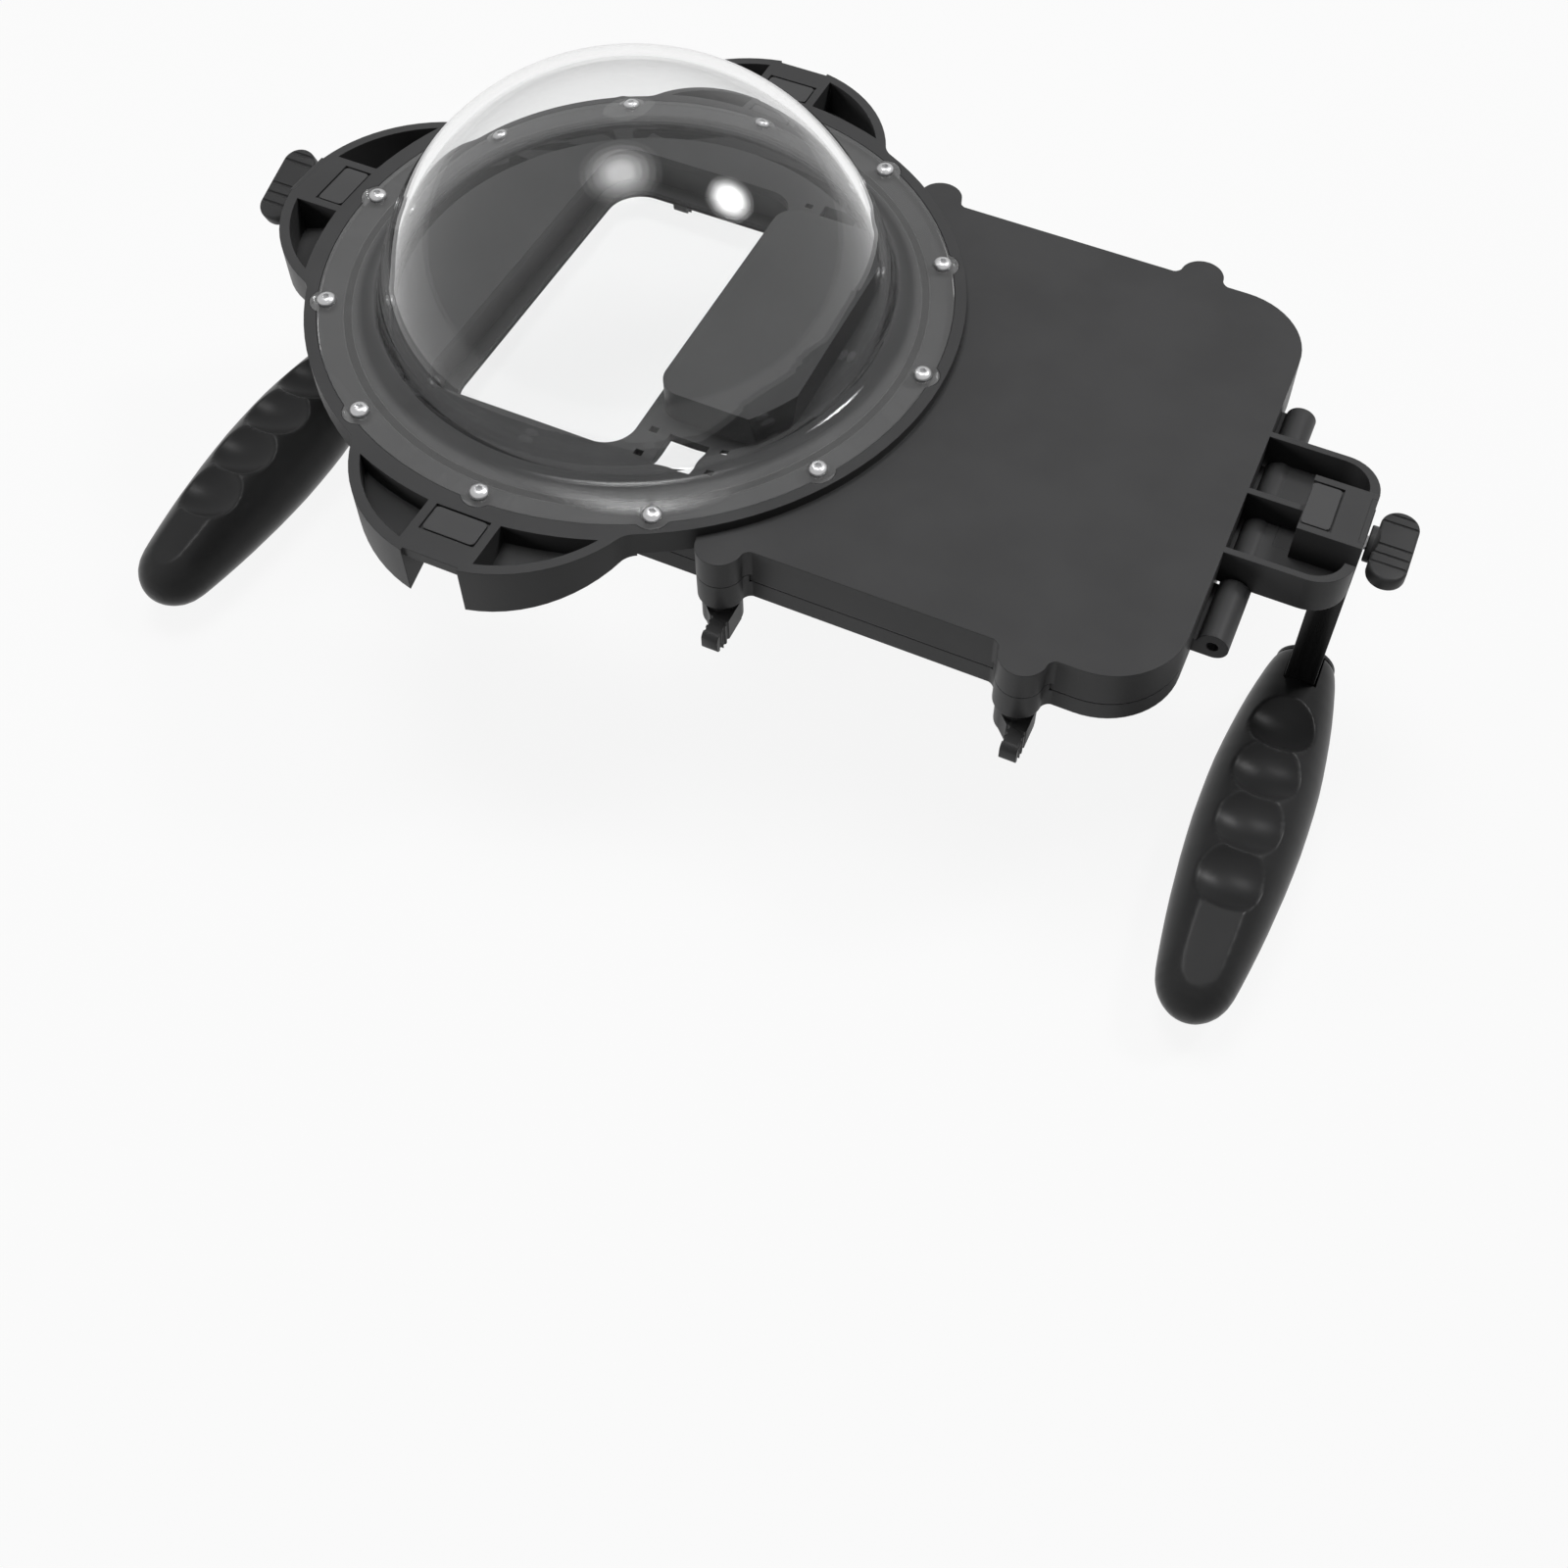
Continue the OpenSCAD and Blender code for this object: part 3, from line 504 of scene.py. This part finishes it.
# finger hollows: height of each one's floor over the axis, and where they lie
HOLLOW_FLOORS = (14.65, 15.9, 15.8, 14.4)
FIRST_HOLLOW, HOLLOW_STEP = 33.9, 18.45
HOLLOW_LIFT, HOLLOW_ASIDE = 4.9, 0.9
HOLLOW_R = 10.0
HOLLOW_SPREAD = (1.62, 1.16, 1.0)
VOXEL = 0.55
SLOT_HALF_T, SLOT_Y = 4.85, 6.0
SLOT_GAP = 0.15
GRIP_BORE_R, GRIP_BORE_DOWN = 2.05, 12


def finger_hollow(x, y, z):
    """A flattened ball that cuts a hollow for one finger."""
    middle = mm(x, y, z)
    ball = settle(start("finger hollow", bpy.ops.mesh.primitive_uv_sphere_add, segments=64,
                        ring_count=40, radius=HOLLOW_R / 1000, location=middle))
    edit(ball)
    bpy.ops.transform.resize(value=HOLLOW_SPREAD, center_override=tuple(middle))
    leave()
    return ball


def grip(side, stretch):
    """Barrel turned from the profile, stretched along by so much, with a long flat in
    front, four hollows for the fingers in it and a facet for the palm behind. Its edges
    are then melted soft."""
    x = GRIP_X[side]
    barrel = turned(f"grip_{side}_body", [(stretch * d, r) for d, r in GRIP_PROFILE],
                    (x, GRIP_TOP, GRIP_Z), (0, -1, 0), 72)
    flat = block("front flat", (x - CUT_HALF_W, GRIP_TOP - FLAT_ENDS[0][0], GRIP_Z + FLAT_Z),
                 (x + CUT_HALF_W, GRIP_TOP - FLAT_ENDS[1][0], CUT_FRONT))
    edit(flat)
    for down, height in FLAT_ENDS:
        choose(flat, "verts", lambda at, v: abs(at.y - GRIP_TOP + down) < 1
               and at.z < CUT_FRONT - 1)
        move_chosen(0, 0, height - FLAT_Z)
    leave()
    palm = block("palm facet",
                 (x - CUT_HALF_W, GRIP_TOP - GRIP_LEN - CUT_PAST, GRIP_Z - CUT_BACK),
                 (x + CUT_HALF_W, GRIP_TOP, GRIP_Z - PALM_DEPTH))
    carve(barrel, palm, flat)
    for k, height in enumerate(HOLLOW_FLOORS):
        carve(barrel, finger_hollow(x - HOLLOW_ASIDE, GRIP_TOP - FIRST_HOLLOW - HOLLOW_STEP * k,
                                    GRIP_Z + height + HOLLOW_LIFT))
    finish_with(barrel, "REMESH", mode="VOXEL", voxel_size=VOXEL / 1000)
    finish_with(barrel, "SMOOTH", factor=0.5, iterations=5)
    slot = block("slot for the arm",
                 (x - SLOT_HALF_T, -BAR_HALF_W - SLOT_GAP, NECK_FOOT - SLOT_GAP),
                 (x + SLOT_HALF_T, SLOT_Y, CUT_FRONT))
    bore = drum("screw bore", (x, GRIP_TOP - GRIP_BORE_DOWN, GRIP_Z), GRIP_BORE_R, THROUGH,
                ALONG_Y, 24)
    carve(barrel, slot, bore)
    smooth(barrel)
    fit(barrel, "case_front", f"grip_{side}")


# the right grip reaches a little further than its CAD node
grip("right", 1.03)
grip("left", 1.0)


# Latch levers: a round hub and two arms set off to either side, with rounded, ribbed tips

PIVOTS = [(-24.2, -77.6), (64.4, -77.6), (149.9, -77.6), (-60.7, -27.5), (-60.7, 27.5),
          (-24.2, 77.6), (64.4, 77.6), (149.9, 77.6)]
LEVER_LOW = -32.0
HUB_R, REACH = 5.6, 14.4
HUB_STATIONS = [(0, HUB_R - 0.7), (0.2, HUB_R - 0.3), (0.6, HUB_R), (9.4, HUB_R),
                (9.7, HUB_R - 0.3)]
# blocks of one arm, as corners from the hub's foot, with Y towards the arm's tip
LATCH_ARM = ((-5.6, 0, 0.1), (-0.7, REACH - 3.4, 7.9))
LATCH_WEB = ((-0.9, 2.2, 0.1), (3.2, 8.4, 7.9))
LATCH_TIP = ((-5.5, REACH - 4.6, 1.3), (-0.8, REACH, 7.9))
WEB_SLOPE = 4.2
TIP_ROUND = 1.9
# three grooves down both sides of a tip leave ribs between them
GROOVE_SIDES = (-5.85, -0.45)
GROOVES, FIRST_GROOVE, GROOVE_STEP = 3, 2.2, 2
GROOVE_R, GROOVE_LEN, GROOVE_Z = 0.75, 12, 4.5


def lever_block(name, px, py, turn, corners):
    """A block placed from the hub, turned half round where turn is -1."""
    (x0, y0, z0), (x1, y1, z1) = corners
    xs = sorted((px + x0 * turn, px + x1 * turn))
    ys = sorted((py + y0 * turn, py + y1 * turn))
    return block(name, (xs[0], ys[0], LEVER_LOW + z0), (xs[1], ys[1], LEVER_LOW + z1))


def lever_at(px, py):
    hub = turned("latch hub", HUB_STATIONS, (px, py, LEVER_LOW), (0, 0, 1))
    for turn in (1, -1):
        bar = lever_block("latch arm", px, py, turn, LATCH_ARM)
        web = lever_block("latch web", px, py, turn, LATCH_WEB)
        edit(web)
        choose(web, "verts", lambda at, v: (at.x - px) * turn > 2 and (at.y - py) * turn > 5)
        move_chosen(0, -WEB_SLOPE * turn, 0)
        leave()
        tip = lever_block("latch tip", px, py, turn, LATCH_TIP)
        edit(tip)
        choose(tip, "edges", lambda at, e: abs(at.y - py - REACH * turn) < 0.01
               and rise(e) < 1e-6)
        bevel_chosen(TIP_ROUND, 5)
        leave()
        carve(hub, bar, web, tip, how="UNION")
    for turn in (1, -1):
        for k in range(GROOVES):
            y = py + (REACH - FIRST_GROOVE - GROOVE_STEP * k) * turn
            for x in GROOVE_SIDES:
                carve(hub, drum("rib groove", (px + x * turn, y, LEVER_LOW + GROOVE_Z),
                                GROOVE_R, GROOVE_LEN, UPRIGHT, 16))
    return ease(hub, 0.2, 55)


first_x, first_y = PIVOTS[0]
first = lever_at(first_x, first_y)
levers = [first] + [copy_of(first, f"lever_{i}_body", (px - first_x, py - first_y, 0))
                    for i, (px, py) in enumerate(PIVOTS[1:], 2)]
first.name = first.data.name = "lever_1_body"
for i, lever in enumerate(levers, 1):
    smooth(lever)
    fit(lever, f"latch_{i}", f"lever_{i}")


# Thumb knobs: a long oval plate with rounded rims, grooves on each face and a collar

KNOB_LEN, KNOB_W, KNOB_T = 25.5, 10.7, 4.8
KNOB_RIM = 0.9
# how far the plate and its collar stand out from the lobe's wall
KNOB_OUT, COLLAR_OUT = 2.5, 0.75
THUMB_GROOVES = (-7.6, -4.3, -0.9, 7.6, 10.5)
THUMB_GROOVE_R, THUMB_GROOVE_OUT, THUMB_GROOVE_PAST = 0.55, 0.05, 3
COLLAR_R = 5.2
COLLAR_STATIONS = [(0, COLLAR_R - 0.3), (0.25, COLLAR_R), (1.7, COLLAR_R),
                   (2.4, COLLAR_R - 0.9), (2.8, 3.2)]
STUD_BORE_R, STUD_BORE_LEN, STUD_BORE_OUT = 2.02, 12, 3


def is_rim(at, edge):
    """Whether an edge of the plate runs round its upper or lower face."""
    if abs(abs(at.z - CLAMP_Z) - KNOB_T / 2) > 0.01 or len(edge.link_faces) != 2:
        return False
    a, b = edge.link_faces
    return abs(a.normal.z - b.normal.z) > 0.5


def knob(side, way, turn):
    tip = LOBE_TIPS[side]
    middle = tip + way * KNOB_OUT + way * KNOB_W / 2
    plate = drum(f"knob_{side}_body", (middle, 0, CLAMP_Z), KNOB_W / 2, KNOB_T, UPRIGHT, 64)
    edit(plate)
    for end in (1, -1):
        choose(plate, "verts", lambda at, v: at.y * end > 0.05)
        move_chosen(0, end * (KNOB_LEN - KNOB_W) / 2, 0)
    choose(plate, "edges", is_rim)
    bevel_chosen(KNOB_RIM, 3)
    leave()
    for y in THUMB_GROOVES:
        for face in (1, -1):
            z = CLAMP_Z + face * (KNOB_T / 2 + THUMB_GROOVE_OUT)
            carve(plate, drum("thumb groove", (middle, y, z), THUMB_GROOVE_R,
                              KNOB_W + THUMB_GROOVE_PAST, ALONG_X, 12))
    collar = turned("collar", COLLAR_STATIONS, (tip + way * COLLAR_OUT, 0, CLAMP_Z),
                    (way, 0, 0), 48)
    carve(plate, collar, how="UNION")
    carve(plate, drum("stud bore", (tip + way * STUD_BORE_OUT, 0, CLAMP_Z), STUD_BORE_R,
                      STUD_BORE_LEN, ALONG_X, 32))
    swing(plate, turn, "X", (0, 0, CLAMP_Z))
    smooth(plate)
    fit(plate, f"thumbscrew_{side}", f"knob_{side}")


# the left knob stands a little turned on its stud
knob("right", 1, 0.0)
knob("left", -1, math.radians(22))


# Small plates of the front shell

SKIN_HALF_W = 8.28
SKIN_LOW, SKIN_TOP = -3.35, -0.02
# how far behind the lobe's outer wall its faces lie
SKIN_BACK, SKIN_FRONT = 1.68, 0.02
SKIN_ROUND = 0.3
BRACKET_FLOOR = {"bracket_floor_plate": ((197.5, -8.05, -15.38), (202.3, 8.05, -12.43)),
                 "bracket_floor_strip": ((186.72, -20.6, -15.3), (187.95, 20.6, -14.0))}
# their edges are eased above this height
EASED_ABOVE, EASE = -14.1, 0.05


def clamp_skin(side, way):
    """The top skin runs on over the arm to the lobe's outer wall."""
    tip = LOBE_TIPS[side]
    near, far = sorted((tip - way * SKIN_BACK, tip - way * SKIN_FRONT))
    skin = block(f"clamp_skin_{side}", (near, -SKIN_HALF_W, SKIN_LOW),
                 (far, SKIN_HALF_W, SKIN_TOP))
    edit(skin)
    choose(skin, "edges", lambda at, e: at.z > SKIN_TOP - 0.08 and abs(at.x - tip) < 0.1)
    bevel_chosen(SKIN_ROUND, 2)
    leave()
    dress(skin, "case_front", "front_shell")


clamp_skin("right", 1)
clamp_skin("left", -1)

# the floor of the hinge bracket is closed under its block and up to the box
for name, (low, high) in BRACKET_FLOOR.items():
    plate = block(name, low, high)
    edit(plate)
    choose(plate, "edges", lambda at, e: at.z > EASED_ABOVE)
    bevel_chosen(EASE, 1)
    leave()
    dress(plate, "case_front", "front_shell")


# Inlays: four flush pads with rounded corners, on the bracket and the three lobes

INLAY_TIPS = (220.4, 116.0, 116.0, 116.0)
PAD_INNER, PAD_OUTER = 17.75, 9.65
PAD_HALF_W = 7.75
PAD_LOW, PAD_TOP = -0.9, -0.03
PAD_CORNER, PAD_RIM = 1.2, 0.15


def inlays():
    pads = []
    for quarter, tip in enumerate(INLAY_TIPS):
        pad = block("pad", (tip - PAD_INNER, -PAD_HALF_W, PAD_LOW),
                    (tip - PAD_OUTER, PAD_HALF_W, PAD_TOP))
        edit(pad)
        choose(pad, "edges", lambda at, e: rise(e) > 1e-5)
        bevel_chosen(PAD_CORNER, 4)
        choose(pad, "faces", lambda at, f: f.normal.z > 0.9)
        bevel_chosen(PAD_RIM, 1)
        leave()
        swing(pad, quarter * math.pi / 2, "Z", (0, 0, 0))
        pads.append(pad)
    fit(join(pads, "inlay_pads"), "case_front", "mount_inlays")


inlays()


# Dome: a flange with an ear at each screw, a rounded foot, and the thin hollow crown

DOME_R, DOME_WALL = 76.2, 3.4
# how far the sphere's middle lies behind the flange's top face
DOME_SINK = 9.7
FLANGE_R, FLANGE_T, FLANGE_EDGE = 92.7, 3.2, 0.15
FOOT_R = 5.0
SCREW_RING, EAR_R, SCREW_BORE_R = 90.0, 4.9, 1.7
SCREW_TURNS = [i * math.pi / 6 for i in range(12)]
DOME_SIDES, FOOT_STEPS = 144, 10
OUTER_STEPS, INNER_STEPS = 48, 56
POLE = math.radians(89.7)


def crown(radius, low, steps):
    """Stations up a sphere from a height to just short of its pole."""
    first = math.asin((low + DOME_SINK) / radius)
    for k in range(steps + 1):
        up = first + (POLE - first) * k / steps
        yield radius * math.sin(up) - DOME_SINK, radius * math.cos(up)


def at_screws(name, radius, length, sides):
    """Drums through the flange at its screws, joined to one piece."""
    return join([drum(name, (SCREW_RING * math.cos(a), SCREW_RING * math.sin(a), -FLANGE_T / 2),
                      radius, length, sides=sides) for a in SCREW_TURNS], name)


def dome():
    foot_x = math.sqrt((DOME_R + FOOT_R) ** 2 - (FOOT_R + DOME_SINK) ** 2)
    meet = math.atan2(FOOT_R + DOME_SINK, foot_x)
    stations = [(-FLANGE_T, FLANGE_R - FLANGE_EDGE), (-FLANGE_T + FLANGE_EDGE, FLANGE_R),
                (-FLANGE_EDGE, FLANGE_R), (0, FLANGE_R - FLANGE_EDGE)]
    for k in range(FOOT_STEPS + 1):
        a = (math.pi / 2 - meet) * k / FOOT_STEPS
        stations.append((FOOT_R * (1 - math.cos(a)), foot_x - FOOT_R * math.sin(a)))
    stations += list(crown(DOME_R, stations[-1][0], OUTER_STEPS))[1:]
    piece = turned("dome_body", stations, (0, 0, 0), (0, 0, 1), DOME_SIDES)
    inner_r = DOME_R - DOME_WALL
    low = math.sqrt(inner_r ** 2 - (DOME_SINK - FLANGE_T) ** 2)
    inside = turned("dome hollow", [(-FLANGE_T - 1, low), (-FLANGE_T, low)]
                    + list(crown(inner_r, -FLANGE_T + 0.01, INNER_STEPS)),
                    (0, 0, 0), (0, 0, 1), DOME_SIDES)
    carve(piece, at_screws("flange ears", EAR_R, FLANGE_T - 0.04, 48), how="UNION")
    carve(piece, inside, at_screws("screw bores", SCREW_BORE_R, FLANGE_T + 2, 24))
    smooth(piece, 40)
    fit(piece, "case_front", "dome")


dome()


# Flange screws: button heads with a hex socket

# the shanks over the phone compartment end in the front wall, the others in a nut
LONG_END, SHORT_END = 10.4, 6.2
ROOM_HALF_W = 59.5
SCREW_HEAD = [(0, 1.5), (0.01, 2.6), (0.25, 2.75), (0.7, 2.72), (1.15, 2.5), (1.5, 2.15),
              (1.75, 1.75), (1.9, 1.35)]
SOCKET_R, SOCKET_Z, SOCKET_LEN = 1.05, 2, 2.2


def screws():
    made = []
    for a in SCREW_TURNS:
        x, y = SCREW_RING * math.cos(a), SCREW_RING * math.sin(a)
        end = LONG_END if x < ROOM_HALF_W or abs(y) > ROOM_HALF_W else SHORT_END
        one = turned("flange screw", [(-end, 1.3), (-end + 0.3, 1.5)] + SCREW_HEAD,
                     (x, y, 0), (0, 0, 1), 32)
        carve(one, drum("hex socket", (x, y, SOCKET_Z), SOCKET_R, SOCKET_LEN, (0, 0, a), 6))
        made.append(one)
    fit(smooth(join(made, "flange_screw_set"), 40), "case_front", "flange_screws")


screws()


# Stage: a white card under the case and a white room round it

CARD_TONE, CARD_WHITE = 0.6, 0.9

bpy.ops.object.select_all(action="DESELECT")


def white_card():
    """Plain for light that bounces off it, white where it is looked at."""
    p = Paint("white card")
    camera = p.node("ShaderNodeLightPath", out="Is Camera Ray")
    seen = camera.math("MAXIMUM", camera.beside("Is Glossy Ray"))
    seen = seen.math("MAXIMUM", camera.beside("Is Transmission Ray"))
    white = p.node("ShaderNodeEmission", None, {"Color": (1, 1, 1, 1), "Strength": 1.0})
    return p.surface(p.mix(seen * CARD_WHITE, p.diffuse(CARD_TONE), white))


def studio(bounced, mirrored):
    """White where it is looked at, and so much of that for light that bounces off a
    surface and for what the gloss mirrors."""
    room = Nodes(bpy.data.worlds.new("studio"), "ShaderNodeOutputWorld")
    diffuse = room.node("ShaderNodeLightPath", out="Is Diffuse Ray")
    glossy = diffuse.beside("Is Glossy Ray")
    strength = (1 - (1 - bounced) * diffuse) * (1 - (1 - mirrored) * glossy)
    return room.surface(room.node("ShaderNodeBackground", None,
                                  {"Color": (1, 1, 1, 1), "Strength": strength}))


floor = start("floor", bpy.ops.mesh.primitive_plane_add, size=12, location=(0, 0, -0.0002))
paint(floor, white_card())
bpy.context.scene.world = studio(bounced=0.04, mirrored=0.62)


# Lamps, placed in metres, with powers in watts

DOME_CENTRE = mm(0, 0, -DOME_SINK)
# what lights the case: place, aim, width and power
LAMPS = {"front left": ((-1.1, -0.9, 0.38), (0, 0, 0.05), 0.6, 8),
         "overhead": (mm(-241.0, 223.8, 1549.8), DOME_CENTRE, 0.9, 12.4)}
# The dome mirrors two lamps as soft bright patches on its crown: a small glint, and a
# broad smear before the overhead lamp. Each is a nest of discs, so that its edge fades:
# the way to it from the dome, the widest disc and the power of the nest.
NESTS = {"glint": ((0.46, 0.37, 0.76), 0.52, 9.5),
         "crown smear": ((-0.14, 0.13, 0.906), 0.86, 5.5)}
# how a nest's power is shared from its widest disc to its narrowest
SHARE = (0.18, 0.25, 0.25, 0.2, 0.12)
NEST_OUT, NEST_STEP, NEST_TAPER = 1.6, 0.02, 0.17


def softbox(name, at, aim, width, power, mirrored=False):
    """A round lamp. Unless it is mirrored, no gloss and no clear piece shows it."""
    lamp = bpy.data.lights.new(name, "AREA")
    lamp.shape, lamp.size, lamp.size_y, lamp.energy = "ELLIPSE", width, width, power
    box = bpy.data.objects.new(name, lamp)
    bpy.context.scene.collection.objects.link(box)
    box.location = at
    box.rotation_euler = (Vector(aim) - Vector(at)).to_track_quat("-Z", "Y").to_euler()
    box.visible_glossy = box.visible_transmission = mirrored


for name, (at, aim, width, power) in LAMPS.items():
    softbox(name, at, aim, width, power)
for name, (way, widest, power) in NESTS.items():
    for k, share in enumerate(SHARE):
        at = DOME_CENTRE + Vector(way).normalized() * (NEST_OUT - NEST_STEP * k)
        softbox(f"{name} {k}", at, DOME_CENTRE, widest * (1 - NEST_TAPER * k), power * share, True)


# Camera, fitted to the flange and its screws in the photo

cam = bpy.data.cameras.new("camera")
cam.lens, cam.sensor_width = 42.61, 36.0
cam.shift_x, cam.shift_y = -0.0763, -0.1674
cam.clip_start, cam.clip_end = 0.02, 20
eye = bpy.data.objects.new("camera", cam)
bpy.context.scene.collection.objects.link(eye)
eye.location = mm(215.5, -348.4, 376.6)
eye.rotation_euler = [math.radians(degrees) for degrees in (39.9275, -2.164, 22.8367)]
bpy.context.scene.camera = eye

scene = bpy.context.scene
scene.view_settings.view_transform = "Standard"

bpy.context.view_layer.update()
